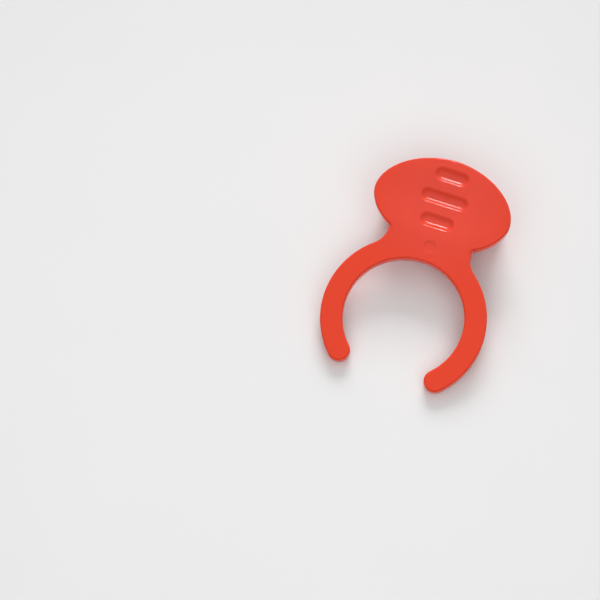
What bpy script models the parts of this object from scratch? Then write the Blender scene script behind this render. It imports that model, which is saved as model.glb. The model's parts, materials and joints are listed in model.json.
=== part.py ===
"""Finger-ring training clicker, in metres, +Z up, lying on the floor as it is put down on a table.

One coloured moulding is both the open finger ring and the grooved thumb plate. Behind the plate a
wedge-shaped cover holds a spring-steel leaf with a pressed dimple. The forefinger presses the button
in the cover's back, the button's plunger bends the leaf, and the leaf snaps.

Everything is modelled in the sheet's own frame: its origin is the centre of the finger ring on the
front face, +Y runs up the middle of the plate and +Z stands out of the front face. The empty
"lying_frame" then tilts that frame so that the ring's tips and the cover's back touch the floor.
"""

import math

import bmesh
import bpy
from mathutils import Matrix

MM = 0.001

# Ring, neck and plate, all in one sheet
SHEET_THICKNESS = 1.8 * MM
EDGE_ROUND = 0.3 * MM
RING_INNER_RADIUS = 10.0 * MM
RING_BAND = 3.72 * MM
MOUTH_HALF_ANGLE = math.radians(44.5)
NECK_HALF_WIDTH = 7.25 * MM
NECK_FILLET = 3.9 * MM
PLATE_CENTRE_FROM_RING = 6.3 * MM
PLATE_HALF_WIDTH = 11.75 * MM
PLATE_FAR_HALF = 8.1 * MM
PLATE_NEAR_HALF = 7.6 * MM
# 2 would make each half of the plate a true oval; less draws its shoulders in
PLATE_FULLNESS = 1.88
DISH_MARGIN = 1.5 * MM
DISH_DEPTH = 0.35 * MM

# Thumb grooves, near to far
GROOVE_LENGTHS = (5.7 * MM, 8.0 * MM, 5.7 * MM)
GROOVE_PITCH = 4.05 * MM
GROOVE_HALF_WIDTH = 1.0 * MM
GROOVE_DEPTH = 0.5 * MM
# The round-bottomed cutter whose section is that wide at that depth
GROOVE_RADIUS = (GROOVE_HALF_WIDTH**2 + GROOVE_DEPTH**2) / (2 * GROOVE_DEPTH)
GROOVES_PAST_CENTRE = 1.25 * MM

# How the clicker lies: the tilt of the sheet from the floor
REST_TILT = math.radians(11.0)

# Cover
COVER_SETBACK_SIDE = 1.45 * MM
COVER_SETBACK_FAR = 1.6 * MM
COVER_SETBACK_NEAR = 1.75 * MM
WALL = 1.0 * MM
COVER_EDGE_ROUND = 0.6 * MM
RIB_HEIGHT = 1.0 * MM
RIB_THICKNESS = 0.6 * MM
SLOT_LENGTH = 1.6 * MM
SLOT_WIDTH = 0.7 * MM
SLOT_PITCH = 2.6 * MM

# Fits
SEAM = 0.2 * MM
FIT = 0.2 * MM

# Cover screws
SCREW_SHANK_RADIUS = 0.65 * MM
SCREW_HEAD_RADIUS = 1.3 * MM
SCREW_HEAD_HEIGHT = 0.7 * MM
SCREW_RECESS = 0.3 * MM
SCREW_BITE = 1.9 * MM
CROSS_LENGTH = 1.5 * MM
CROSS_WIDTH = 0.35 * MM
CROSS_DEPTH = 0.35 * MM
BOSS_WALL = 0.7 * MM
COLUMN_SINK = 0.1 * MM
BOSS_HEIGHT = 2.4 * MM

# Leaf, its clamp and rivets
PEDESTAL_HEIGHT = 1.5 * MM
LEAF_THICKNESS = 0.25 * MM
LEAF_WIDTH = 6.0 * MM
DIMPLE_RADIUS = 1.8 * MM
DIMPLE_HEIGHT = 0.4 * MM
CLAMP_WIDTH = 2.0 * MM
CLAMP_THICKNESS = 1.0 * MM
CLAMP_SIDE = 0.2 * MM
CLAMP_EDGE = 0.15 * MM
RIVET_SHANK_RADIUS = 0.4 * MM
RIVET_HEAD_RADIUS = 0.75 * MM
RIVET_HEAD_HEIGHT = 0.5 * MM
RIVET_SPREAD = 1.9 * MM
RIVET_BITE = 1.0 * MM
STOP_RADIUS = 0.9 * MM

# Button
BUTTON_RADIUS = 3.0 * MM
BUTTON_LIP = 0.4 * MM
BUTTON_LIP_THICKNESS = 0.6 * MM
BUTTON_RECESS = 0.2 * MM
BUTTON_TRAVEL = 0.8 * MM
PLUNGER_RADIUS = 0.8 * MM

# Smoothness of the round work
ARC_STEP = math.radians(5.0)
ROUND_SIDES = 40
COVER_SIDES = 80

# Places that follow from the sizes above
RING_OUTER_RADIUS = RING_INNER_RADIUS + RING_BAND
BAND_RADIUS = RING_INNER_RADIUS + RING_BAND / 2
PLATE_CENTRE_Y = RING_OUTER_RADIUS + PLATE_CENTRE_FROM_RING
PLATE_FAR_Y = PLATE_CENTRE_Y + PLATE_FAR_HALF
PLATE_NEAR_Y = PLATE_CENTRE_Y - PLATE_NEAR_HALF
TIP_REACH = BAND_RADIUS * math.cos(MOUTH_HALF_ANGLE) + RING_BAND / 2
BACK = -SHEET_THICKNESS

COVER_HALF_WIDTH = PLATE_HALF_WIDTH - COVER_SETBACK_SIDE
COVER_FAR_Y = PLATE_FAR_Y - COVER_SETBACK_FAR
COVER_NEAR_Y = PLATE_NEAR_Y + COVER_SETBACK_NEAR
COVER_Y = (COVER_FAR_Y + COVER_NEAR_Y) / 2
COVER_HALF_HEIGHT = (COVER_FAR_Y - COVER_NEAR_Y) / 2

SCREW_HOLE_RADIUS = SCREW_SHANK_RADIUS + FIT
BOSS_RADIUS = SCREW_HOLE_RADIUS + BOSS_WALL
COUNTERBORE_RADIUS = SCREW_HEAD_RADIUS + FIT
COLUMN_RADIUS = COUNTERBORE_RADIUS + BOSS_WALL
SCREW_X = COVER_HALF_WIDTH - WALL - COLUMN_RADIUS + COLUMN_SINK
BOSS_END = BACK - BOSS_HEIGHT

LEAF_HALF_LENGTH = SCREW_X - BOSS_RADIUS - FIT
PEDESTAL_END = BACK - PEDESTAL_HEIGHT
LEAF_TOP = PEDESTAL_END - FIT
LEAF_UNDER = LEAF_TOP - LEAF_THICKNESS
CLAMP_TOP = LEAF_UNDER - FIT
CLAMP_UNDER = CLAMP_TOP - CLAMP_THICKNESS
LIP_RADIUS = BUTTON_RADIUS + BUTTON_LIP
CLAMP_X0 = -LEAF_HALF_LENGTH
CLAMP_X1 = CLAMP_X0 + CLAMP_WIDTH
BUTTON_X = CLAMP_X1 + FIT + LIP_RADIUS
RIVET_X = (CLAMP_X0 + CLAMP_X1) / 2
RIVET_HOLE_RADIUS = RIVET_SHANK_RADIUS + FIT
PLUNGER_END = LEAF_UNDER - DIMPLE_HEIGHT - FIT

# Height of the sheet's frame over the floor: the tips' rounded back edge just touches it
LIFT = (
    (TIP_REACH - EDGE_ROUND) * math.sin(REST_TILT)
    + (SHEET_THICKNESS - EDGE_ROUND) * math.cos(REST_TILT)
    + EDGE_ROUND
)
# Ends of the whole clicker along the floor, and the shift that centres them on the origin
REACH_FAR = (
    (PLATE_FAR_Y - EDGE_ROUND) * math.cos(REST_TILT)
    + (SHEET_THICKNESS - EDGE_ROUND) * math.sin(REST_TILT)
    + EDGE_ROUND
)
REACH_NEAR = (
    (TIP_REACH - EDGE_ROUND) * math.cos(REST_TILT) - EDGE_ROUND * math.sin(REST_TILT) + EDGE_ROUND
)
SHIFT_Y = (REACH_NEAR - REACH_FAR) / 2


def floor_depth(y, height=0.0):
    """The sheet's z of the plane that lies this height over the floor, at y."""
    return -(LIFT - height + y * math.sin(REST_TILT)) / math.cos(REST_TILT)


SCREW_SEAT = floor_depth(COVER_Y - SCREW_HEAD_RADIUS) + SCREW_RECESS + SCREW_HEAD_HEIGHT + FIT


# ---------------------------------------------------------------- scene and helpers

def clear_scene():
    for obj in list(bpy.data.objects):
        bpy.data.objects.remove(obj, do_unlink=True)
    for collection in list(bpy.data.collections):
        bpy.data.collections.remove(collection)


clear_scene()
PARTS = bpy.data.collections.new("finger_clicker")
CUTTERS = bpy.data.collections.new("cutters")
for group in (PARTS, CUTTERS):
    bpy.context.scene.collection.children.link(group)

LYING = bpy.data.objects.new("lying_frame", None)
PARTS.objects.link(LYING)
LYING.rotation_euler = (REST_TILT, 0.0, 0.0)
LYING.location = (0.0, SHIFT_Y, LIFT)


def material(name, colour, roughness, metallic=0.0):
    made = bpy.data.materials.new(name)
    made.use_nodes = True
    shader = made.node_tree.nodes["Principled BSDF"]
    shader.inputs["Base Color"].default_value = (*colour, 1.0)
    shader.inputs["Roughness"].default_value = roughness
    shader.inputs["Metallic"].default_value = metallic
    return made


def place(mesh, name, finish=None, at=(0.0, 0.0, 0.0)):
    """A mesh as a part, or as a hidden cutter when it has no finish."""
    obj = bpy.data.objects.new(name, mesh)
    (PARTS if finish else CUTTERS).objects.link(obj)
    obj.parent = LYING
    obj.location = at
    if finish:
        mesh.materials.append(finish)
    else:
        obj.hide_render = True
        obj.display_type = "WIRE"
    return obj


def mesh_from(bm, name):
    mesh = bpy.data.meshes.new(name)
    bm.to_mesh(mesh)
    bm.free()
    mesh.shade_smooth()
    mesh.set_sharp_from_angle(angle=math.radians(35.0))
    return mesh


def drum(name, radii, top, bottom, centre, sides=ROUND_SIDES, slanted=False):
    """An upright round or oval bar. Its lower end is at z = bottom, or at that height over the floor."""
    bm = bmesh.new()
    bmesh.ops.create_cone(
        bm, cap_ends=True, segments=sides, radius1=1.0, radius2=1.0, depth=2.0
    )
    for vert in bm.verts:
        x = centre[0] + vert.co.x * radii[0]
        y = centre[1] + vert.co.y * radii[1]
        low = floor_depth(y, bottom) if slanted else bottom
        vert.co = (x, y, top if vert.co.z > 0 else low)
    return mesh_from(bm, name)


def block(name, low, high):
    bm = bmesh.new()
    bmesh.ops.create_cube(bm, size=1.0)
    for vert in bm.verts:
        vert.co = [a + (c + 0.5) * (b - a) for a, b, c in zip(low, high, vert.co)]
    return mesh_from(bm, name)


def capsule(name, length, radius, centre):
    """A round-ended bar along X: a ball whose two halves are moved apart."""
    bm = bmesh.new()
    bmesh.ops.create_uvsphere(bm, u_segments=20, v_segments=11, radius=radius)
    bm.transform(Matrix.Rotation(math.radians(90.0), 4, "Y"))
    half = length / 2 - radius
    for vert in bm.verts:
        vert.co.x += math.copysign(half, vert.co.x)
        vert.co += centre
    return mesh_from(bm, name)


def turned(name, profile, finish, at):
    """A turned piece: the profile is (radius, z) pairs, top to bottom, on its own axis."""
    mesh = bpy.data.meshes.new(name)
    points = [(radius, 0.0, z) for radius, z in profile]
    mesh.from_pydata(points, [(i, i + 1) for i in range(len(points) - 1)], [])
    obj = place(mesh, name, finish, at)
    screw = obj.modifiers.new("turn", "SCREW")
    screw.steps = ROUND_SIDES
    screw.render_steps = ROUND_SIDES
    screw.use_merge_vertices = True
    screw.merge_threshold = 0.00001
    return obj


def bevel(obj, width, segments=2, angle=60.0):
    made = obj.modifiers.new("round", "BEVEL")
    made.width = width
    made.segments = segments
    made.limit_method = "ANGLE"
    made.angle_limit = math.radians(angle)
    return made


def boolean(obj, mesh, operation="DIFFERENCE", at=(0.0, 0.0, 0.0)):
    tool = place(mesh, obj.name + "_" + mesh.name, None, at)
    made = obj.modifiers.new(mesh.name, "BOOLEAN")
    made.operation = operation
    made.solver = "EXACT"
    made.object = tool
    return made


def arc(centre, radii, start, end, fullness=2.0):
    """Points on a circle or oval from start to end, both included."""
    count = max(2, round(abs(end - start) / ARC_STEP)) + 1
    points = []
    for i in range(count):
        angle = start + (end - start) * i / (count - 1)
        across = math.copysign(abs(math.cos(angle)) ** (2.0 / fullness), math.cos(angle))
        along = math.copysign(abs(math.sin(angle)) ** (2.0 / fullness), math.sin(angle))
        points.append((centre[0] + radii[0] * across, centre[1] + radii[1] * along))
    return points


# ---------------------------------------------------------------- ring, neck and plate

def half_outline():
    """The sheet's right-hand edge, from the far end of the plate round to the ring's inner top."""
    quarter = math.pi / 2
    plate = (0.0, PLATE_CENTRE_Y)
    full = PLATE_FULLNESS
    notch = -math.acos((NECK_HALF_WIDTH / PLATE_HALF_WIDTH) ** (full / 2))
    points = arc(plate, (PLATE_HALF_WIDTH, PLATE_FAR_HALF), quarter, 0.0, full)
    points += arc(plate, (PLATE_HALF_WIDTH, PLATE_NEAR_HALF), 0.0, notch, full)[1:]
    # The fillet touches the neck's straight side and the ring's outer circle
    fillet_x = NECK_HALF_WIDTH + NECK_FILLET
    fillet_y = math.sqrt((RING_OUTER_RADIUS + NECK_FILLET) ** 2 - fillet_x**2)
    toward_ring = math.atan2(-fillet_y, -fillet_x)
    points += arc(
        (fillet_x, fillet_y), (NECK_FILLET, NECK_FILLET), -math.pi, toward_ring
    )
    tip = MOUTH_HALF_ANGLE - quarter
    ring = (RING_OUTER_RADIUS, RING_OUTER_RADIUS)
    points += arc((0.0, 0.0), ring, math.atan2(fillet_y, fillet_x), tip)[1:]
    tip_centre = (BAND_RADIUS * math.cos(tip), BAND_RADIUS * math.sin(tip))
    points += arc(tip_centre, (RING_BAND / 2, RING_BAND / 2), tip, tip - math.pi)[1:]
    inner = (RING_INNER_RADIUS, RING_INNER_RADIUS)
    points += arc((0.0, 0.0), inner, tip, quarter)[1:]
    return points


def sheet_mesh():
    """The flat sheet: the outline as a filled curve of full thickness, turned into a mesh."""
    right = half_outline()
    left = [(-x, y) for x, y in reversed(right[1:-1])]
    curve = bpy.data.curves.new("sheet", "CURVE")
    curve.dimensions = "2D"
    curve.fill_mode = "BOTH"
    curve.extrude = SHEET_THICKNESS / 2
    spline = curve.splines.new("POLY")
    outline = right + left
    spline.points.add(len(outline) - 1)
    for point, (x, y) in zip(spline.points, outline):
        point.co = (x, y, 0.0, 1.0)
    spline.use_cyclic_u = True
    holder = bpy.data.objects.new("sheet_curve", curve)
    bpy.context.scene.collection.objects.link(holder)
    graph = bpy.context.evaluated_depsgraph_get()
    mesh = bpy.data.meshes.new_from_object(holder.evaluated_get(graph))
    bpy.data.objects.remove(holder)
    bm = bmesh.new()
    bm.from_mesh(mesh)
    bmesh.ops.remove_doubles(bm, verts=bm.verts, dist=0.000001)
    bmesh.ops.dissolve_limit(
        bm, angle_limit=math.radians(1.0), verts=bm.verts, edges=bm.edges
    )
    bm.transform(Matrix.Translation((0.0, 0.0, BACK / 2)))
    bmesh.ops.recalc_face_normals(bm, faces=bm.faces)
    return mesh_from(bm, "sheet")


def dish():
    """A flat lens that hollows the plate's front for the thumb."""
    bm = bmesh.new()
    bmesh.ops.create_uvsphere(bm, u_segments=48, v_segments=24, radius=1.0)
    far = PLATE_FAR_HALF - DISH_MARGIN
    near = PLATE_NEAR_HALF - DISH_MARGIN
    for vert in bm.verts:
        x, y, z = vert.co
        reach = far if y > 0 else near
        vert.co = (x * (PLATE_HALF_WIDTH - DISH_MARGIN), PLATE_CENTRE_Y + y * reach, z * DISH_DEPTH)
    return mesh_from(bm, "dish")


def dish_depth(y):
    reach = (PLATE_FAR_HALF if y > PLATE_CENTRE_Y else PLATE_NEAR_HALF) - DISH_MARGIN
    across = (y - PLATE_CENTRE_Y) / reach
    return DISH_DEPTH * math.sqrt(max(0.0, 1.0 - across * across))


def cut_grooves(obj):
    for index, length in enumerate(GROOVE_LENGTHS):
        y = PLATE_CENTRE_Y + GROOVES_PAST_CENTRE + (index - 1) * GROOVE_PITCH
        z = GROOVE_RADIUS - GROOVE_DEPTH - dish_depth(y)
        centre = Matrix.Translation((0.0, y, z)).to_translation()
        cutter_length = length + 2 * (GROOVE_RADIUS - GROOVE_HALF_WIDTH)
        boolean(obj, capsule(f"groove_{index + 1}", cutter_length, GROOVE_RADIUS, centre))


def rib():
    """The oval rib on the plate's back that the cover's wall slips over."""
    outer = [COVER_HALF_WIDTH - WALL - FIT, COVER_HALF_HEIGHT - WALL - FIT]
    inner = [size - RIB_THICKNESS for size in outer]
    centre = (0.0, COVER_Y)
    end = BACK - RIB_HEIGHT
    obj = place(drum("rib", outer, BACK / 2, end, centre, COVER_SIDES), "rib_blank")
    boolean(obj, drum("rib_inside", inner, 0.0, end - RIB_HEIGHT, centre, COVER_SIDES))
    return obj


def union_with(obj, other):
    made = obj.modifiers.new(other.name, "BOOLEAN")
    made.operation = "UNION"
    made.solver = "EXACT"
    made.object = other


def ring_plate():
    finish = material("moulded_red_abs", (0.78, 0.075, 0.04), 0.28)
    obj = place(sheet_mesh(), "ring_plate", finish)
    bevel(obj, EDGE_ROUND)
    boolean(obj, dish())
    cut_grooves(obj)
    union_with(obj, rib())
    inside = BACK / 2
    for side, x in (("left", -SCREW_X), ("right", SCREW_X)):
        boss = drum(f"boss_{side}", (BOSS_RADIUS,) * 2, inside, BOSS_END, (x, COVER_Y))
        boolean(obj, boss, "UNION")
    half = LEAF_WIDTH / 2
    pedestal = block(
        "pedestal",
        (CLAMP_X0, COVER_Y - half, PEDESTAL_END),
        (CLAMP_X1, COVER_Y + half, inside),
    )
    boolean(obj, pedestal, "UNION")
    stop_end = LEAF_TOP + BUTTON_TRAVEL + FIT
    stop = drum("leaf_stop", (STOP_RADIUS,) * 2, inside, stop_end, (BUTTON_X, COVER_Y))
    boolean(obj, stop, "UNION")
    for side, x in (("left", -SCREW_X), ("right", SCREW_X)):
        top = BOSS_END + SCREW_BITE + FIT
        hole = (SCREW_HOLE_RADIUS,) * 2
        boolean(obj, drum(f"pilot_{side}", hole, top, BOSS_END - MM, (x, COVER_Y)))
    for name, y in rivet_places():
        top = PEDESTAL_END + RIVET_BITE + FIT
        hole = (RIVET_HOLE_RADIUS,) * 2
        boolean(obj, drum(f"hole_{name}", hole, top, PEDESTAL_END - MM, (RIVET_X, y)))
    return obj


# ---------------------------------------------------------------- cover

def back_cover():
    finish = material("satin_red_abs", (0.72, 0.065, 0.035), 0.42)
    centre = (0.0, COVER_Y)
    outer = (COVER_HALF_WIDTH, COVER_HALF_HEIGHT)
    inner = [size - WALL for size in outer]
    shell = drum("cover", outer, BACK - SEAM, 0.0, centre, COVER_SIDES, slanted=True)
    obj = place(shell, "back_cover", finish)
    bevel(obj, COVER_EDGE_ROUND, angle=45.0)
    boolean(obj, drum("cavity", inner, 0.0, WALL, centre, COVER_SIDES, slanted=True))
    for side, x in (("left", -SCREW_X), ("right", SCREW_X)):
        at = (x, COVER_Y)
        thin = drum(f"post_{side}", (BOSS_RADIUS,) * 2, BOSS_END - FIT, WALL / 2, at, slanted=True)
        thick = drum(
            f"column_{side}", (COLUMN_RADIUS,) * 2, SCREW_SEAT + WALL / 2, WALL / 2, at, slanted=True
        )
        boolean(obj, thin, "UNION")
        boolean(obj, thick, "UNION")
    for side, x in (("left", -SCREW_X), ("right", SCREW_X)):
        at = (x, COVER_Y)
        low = floor_depth(COVER_Y) - 2 * MM
        boolean(obj, drum(f"through_{side}", (SCREW_HOLE_RADIUS,) * 2, 0.0, low, at))
        boolean(obj, drum(f"counterbore_{side}", (COUNTERBORE_RADIUS,) * 2, SCREW_SEAT, low, at))
    mouth = (BUTTON_RADIUS + FIT,) * 2
    above = floor_depth(COVER_Y, 2 * WALL) + MM
    boolean(obj, drum("button_mouth", mouth, above, -MM, (BUTTON_X, COVER_Y), slanted=True))
    cut_sound_slots(obj)
    return obj


def cut_sound_slots(obj):
    """Three short slots between the button and the far wall let the click out."""
    edge = COVER_Y + BUTTON_RADIUS + FIT
    y = (edge + COVER_FAR_Y - WALL) / 2
    for index in range(3):
        x = (index - 1) * SLOT_PITCH
        slot = block(
            f"slot_{index + 1}",
            (x - SLOT_LENGTH / 2, y - SLOT_WIDTH / 2, floor_depth(y) - MM),
            (x + SLOT_LENGTH / 2, y + SLOT_WIDTH / 2, floor_depth(y, WALL) + MM),
        )
        boolean(obj, slot)


def cover_screws():
    finish = material("zinc_plated_steel", (0.55, 0.56, 0.58), 0.3, 1.0)
    head = SCREW_SEAT - FIT
    for side, x in (("left", -SCREW_X), ("right", SCREW_X)):
        tip = BOSS_END + SCREW_BITE - head
        profile = [
            (0.0, tip),
            (SCREW_SHANK_RADIUS * 0.6, tip),
            (SCREW_SHANK_RADIUS, tip - SCREW_SHANK_RADIUS),
            (SCREW_SHANK_RADIUS, 0.0),
            (SCREW_HEAD_RADIUS, 0.0),
            (SCREW_HEAD_RADIUS, -0.6 * SCREW_HEAD_HEIGHT),
            (0.8 * SCREW_HEAD_RADIUS, -SCREW_HEAD_HEIGHT),
            (0.0, -SCREW_HEAD_HEIGHT),
        ]
        obj = turned(f"cover_screw_{side}", profile, finish, (x, COVER_Y, head))
        for index, (wide, tall) in enumerate(((CROSS_LENGTH, CROSS_WIDTH), (CROSS_WIDTH, CROSS_LENGTH))):
            cross = block(
                f"cross_{side}_{index}",
                (-wide / 2, -tall / 2, -SCREW_HEAD_HEIGHT - MM),
                (wide / 2, tall / 2, -SCREW_HEAD_HEIGHT + CROSS_DEPTH),
            )
            boolean(obj, cross, at=(x, COVER_Y, head))


# ---------------------------------------------------------------- click mechanism

def rivet_places():
    return (("near", COVER_Y - RIVET_SPREAD), ("far", COVER_Y + RIVET_SPREAD))


def click_leaf():
    """The spring strip: flat, with one round dimple pressed towards the button."""
    finish = material("spring_steel", (0.62, 0.63, 0.65), 0.22, 1.0)
    bm = bmesh.new()
    bmesh.ops.create_grid(bm, x_segments=44, y_segments=24, size=1.0)
    for vert in bm.verts:
        x = vert.co.x * LEAF_HALF_LENGTH
        y = COVER_Y + vert.co.y * LEAF_WIDTH / 2
        reach = min(1.0, math.hypot(x - BUTTON_X, y - COVER_Y) / DIMPLE_RADIUS)
        dip = DIMPLE_HEIGHT * (1.0 + math.cos(math.pi * reach)) / 2
        vert.co = (x, y, LEAF_TOP - dip)
    obj = place(mesh_from(bm, "leaf"), "click_leaf", finish)
    solid = obj.modifiers.new("sheet", "SOLIDIFY")
    solid.thickness = LEAF_THICKNESS
    solid.offset = -1.0
    for name, y in rivet_places():
        hole = drum(f"leaf_hole_{name}", (RIVET_HOLE_RADIUS,) * 2, 0.0, CLAMP_UNDER, (RIVET_X, y), 16)
        boolean(obj, hole)
    return obj


def leaf_clamp():
    finish = material("nickel_plated_steel", (0.5, 0.49, 0.46), 0.35, 1.0)
    half = LEAF_WIDTH / 2 - CLAMP_SIDE
    bar = block(
        "bar", (CLAMP_X0, COVER_Y - half, CLAMP_UNDER), (CLAMP_X1, COVER_Y + half, CLAMP_TOP)
    )
    obj = place(bar, "leaf_clamp", finish)
    bevel(obj, CLAMP_EDGE)
    for name, y in rivet_places():
        hole = drum(
            f"clamp_hole_{name}", (RIVET_HOLE_RADIUS,) * 2, 0.0, CLAMP_UNDER - MM, (RIVET_X, y), 16
        )
        boolean(obj, hole)
    return obj


def leaf_rivets():
    finish = material("brass", (0.72, 0.5, 0.18), 0.3, 1.0)
    head = CLAMP_UNDER - FIT
    for name, y in rivet_places():
        tip = PEDESTAL_END + RIVET_BITE - head
        profile = [
            (0.0, tip),
            (RIVET_SHANK_RADIUS, tip),
            (RIVET_SHANK_RADIUS, 0.0),
            (RIVET_HEAD_RADIUS, 0.0),
            (RIVET_HEAD_RADIUS, -0.4 * RIVET_HEAD_HEIGHT),
            (0.7 * RIVET_HEAD_RADIUS, -0.85 * RIVET_HEAD_HEIGHT),
            (0.0, -RIVET_HEAD_HEIGHT),
        ]
        turned(f"leaf_rivet_{name}", profile, finish, (RIVET_X, y, head))


def button():
    """A round cap, a wider lip that keeps it in the cover, and a plunger up to the dimple."""
    finish = material("moulded_grey_abs", (0.22, 0.22, 0.23), 0.45)
    origin = (BUTTON_X, COVER_Y, 0.0)
    lip_low = WALL + FIT
    lip_top = lip_low + BUTTON_LIP_THICKNESS
    lip = drum("lip", (LIP_RADIUS,) * 2, 0.0, lip_low, (0.0, COVER_Y), slanted=True)
    lip.transform(Matrix.Translation((0.0, -COVER_Y, 0.0)))
    obj = place(lip, "button", finish, origin)
    above = place(drum("lip_top_blank", (2 * LIP_RADIUS,) * 2, MM, lip_top, (BUTTON_X, COVER_Y),
                       slanted=True), "button_lip_top")
    trim = obj.modifiers.new("lip_top", "BOOLEAN")
    trim.operation = "DIFFERENCE"
    trim.solver = "EXACT"
    trim.object = above
    cap = drum("cap", (BUTTON_RADIUS,) * 2, floor_depth(COVER_Y, lip_top - 0.5 * BUTTON_LIP_THICKNESS),
               BUTTON_RECESS, (BUTTON_X, COVER_Y), slanted=True)
    boolean(obj, cap, "UNION")
    plunger = drum("plunger", (PLUNGER_RADIUS,) * 2, PLUNGER_END,
                   floor_depth(COVER_Y, lip_low + 0.5 * BUTTON_LIP_THICKNESS), (BUTTON_X, COVER_Y), 16)
    boolean(obj, plunger, "UNION")
    return obj


ring_plate()
back_cover()
cover_screws()
click_leaf()
leaf_clamp()
leaf_rivets()
button()
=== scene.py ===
import json
from math import acos, atan2, cos, pi, radians, sin, sqrt

import bmesh
import bpy
import numpy as np
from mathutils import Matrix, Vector


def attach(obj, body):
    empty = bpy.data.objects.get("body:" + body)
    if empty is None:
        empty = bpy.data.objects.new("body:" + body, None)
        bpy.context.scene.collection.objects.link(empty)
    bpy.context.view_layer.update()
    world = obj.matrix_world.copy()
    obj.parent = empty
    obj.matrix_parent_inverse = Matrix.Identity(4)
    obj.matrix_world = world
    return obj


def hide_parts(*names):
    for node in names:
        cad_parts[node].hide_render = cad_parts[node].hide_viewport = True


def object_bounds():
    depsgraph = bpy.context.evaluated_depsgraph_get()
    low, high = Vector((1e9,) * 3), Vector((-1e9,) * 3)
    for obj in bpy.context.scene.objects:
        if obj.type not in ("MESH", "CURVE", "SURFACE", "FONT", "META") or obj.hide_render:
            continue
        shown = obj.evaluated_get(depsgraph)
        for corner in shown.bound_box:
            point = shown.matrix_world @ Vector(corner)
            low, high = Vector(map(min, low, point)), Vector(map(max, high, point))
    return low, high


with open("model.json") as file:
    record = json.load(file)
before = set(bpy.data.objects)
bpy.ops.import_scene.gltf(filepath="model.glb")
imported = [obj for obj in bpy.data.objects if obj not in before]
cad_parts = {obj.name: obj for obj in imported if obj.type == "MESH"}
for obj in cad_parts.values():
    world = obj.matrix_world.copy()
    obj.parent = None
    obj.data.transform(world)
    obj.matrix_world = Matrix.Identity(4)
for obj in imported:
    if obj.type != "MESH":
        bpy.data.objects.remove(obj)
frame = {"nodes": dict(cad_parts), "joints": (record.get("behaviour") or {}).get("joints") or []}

cadBox = [list(corner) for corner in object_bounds()]
nodes = frame["nodes"]
mm = 0.001
mergeWithin = 2e-7              # points of a seam or a pole that are closer than this become one

# Sizes of the sheet that carries everything, in its own flat frame: origin at the ring's centre on the
# front face, x across, y up the middle of the thumb plate, z out of the front
sheet = {
    "thickness": 1.8 * mm,
    "edgeRound": 0.3 * mm,
    "ringInner": 10.0 * mm,
    "ringOuter": 13.72 * mm,
    "mouthHalfAngle": radians(44.5),
    "neckHalfWidth": 7.25 * mm,
    "neckFillet": 3.9 * mm,
    "plateCentre": 20.02 * mm,
    "plateHalfWidth": 11.75 * mm,
    "plateFar": 8.1 * mm,
    "plateNear": 7.6 * mm,
    "plateFullness": 1.88,
    "neckLine": 13.7 * mm,      # y of the line across the neck that the plate's grid fans out from
    "neckLineHalf": 6.235 * mm,
    "neckLineSag": 0.5 * mm,    # how far the line's ends drop
}

# The sheet leans back about X so that the ring's tips and the cover's back share the floor
pressAxis = Vector(frame["joints"][0]["axis"])
tilt = atan2(-pressAxis.y, pressAxis.z)
bandMiddle = (sheet["ringInner"] + sheet["ringOuter"]) / 2
bandHalf = (sheet["ringOuter"] - sheet["ringInner"]) / 2
tipReach = bandMiddle * cos(sheet["mouthHalfAngle"]) + bandHalf
soft = sheet["edgeRound"]
lift = (tipReach - soft) * sin(tilt) + (sheet["thickness"] - soft) * cos(tilt) + soft
shiftY = cadBox[0][1] + (tipReach - soft) * cos(tilt) - soft * sin(tilt) + soft


def onFloor(points):
    # Turns points of the sheet's frame by the tilt about X, then lifts and shifts them into the row frame
    x, y, z = points[..., 0], points[..., 1], points[..., 2]
    return np.stack([x, y * cos(tilt) - z * sin(tilt) + shiftY, y * sin(tilt) + z * cos(tilt) + lift], -1)


def floorDepth(y, height=0.0):
    # The sheet's z of the plane at this height over the floor: the floor's plane solved for z
    return -(lift - height + y * sin(tilt)) / cos(tilt)


def gridFaces(rows, columns, closed=False, start=0):
    # Quads between neighbouring rows and columns of a grid of points stored row by row; on a closed grid
    # the last column joins the first
    i = np.arange(rows - 1)[:, None] * columns
    j = np.arange(columns if closed else columns - 1)[None, :]
    j2 = (j + 1) % columns
    quads = np.stack([i + j, i + j2, i + columns + j2, i + columns + j], -1)
    return quads.reshape(-1, 4) + start


def makeMesh(name, points, faces, sharpAngle=None):
    # Puts arrays into a mesh, merges the doubled points of seams and poles, and turns the faces outwards
    mesh = bpy.data.meshes.new(name)
    mesh.from_pydata(np.asarray(points).reshape(-1, 3).tolist(), [], np.asarray(faces).tolist())
    bm = bmesh.new()
    bm.from_mesh(mesh)
    bmesh.ops.remove_doubles(bm, verts=bm.verts, dist=mergeWithin)
    bmesh.ops.dissolve_degenerate(bm, edges=bm.edges, dist=mergeWithin)
    bmesh.ops.recalc_face_normals(bm, faces=bm.faces)
    bm.to_mesh(mesh)
    bm.free()
    mesh.shade_smooth()
    if sharpAngle:
        mesh.set_sharp_from_angle(angle=sharpAngle)
    made = bpy.data.objects.new(name, mesh)
    bpy.context.scene.collection.objects.link(made)
    return made


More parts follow.
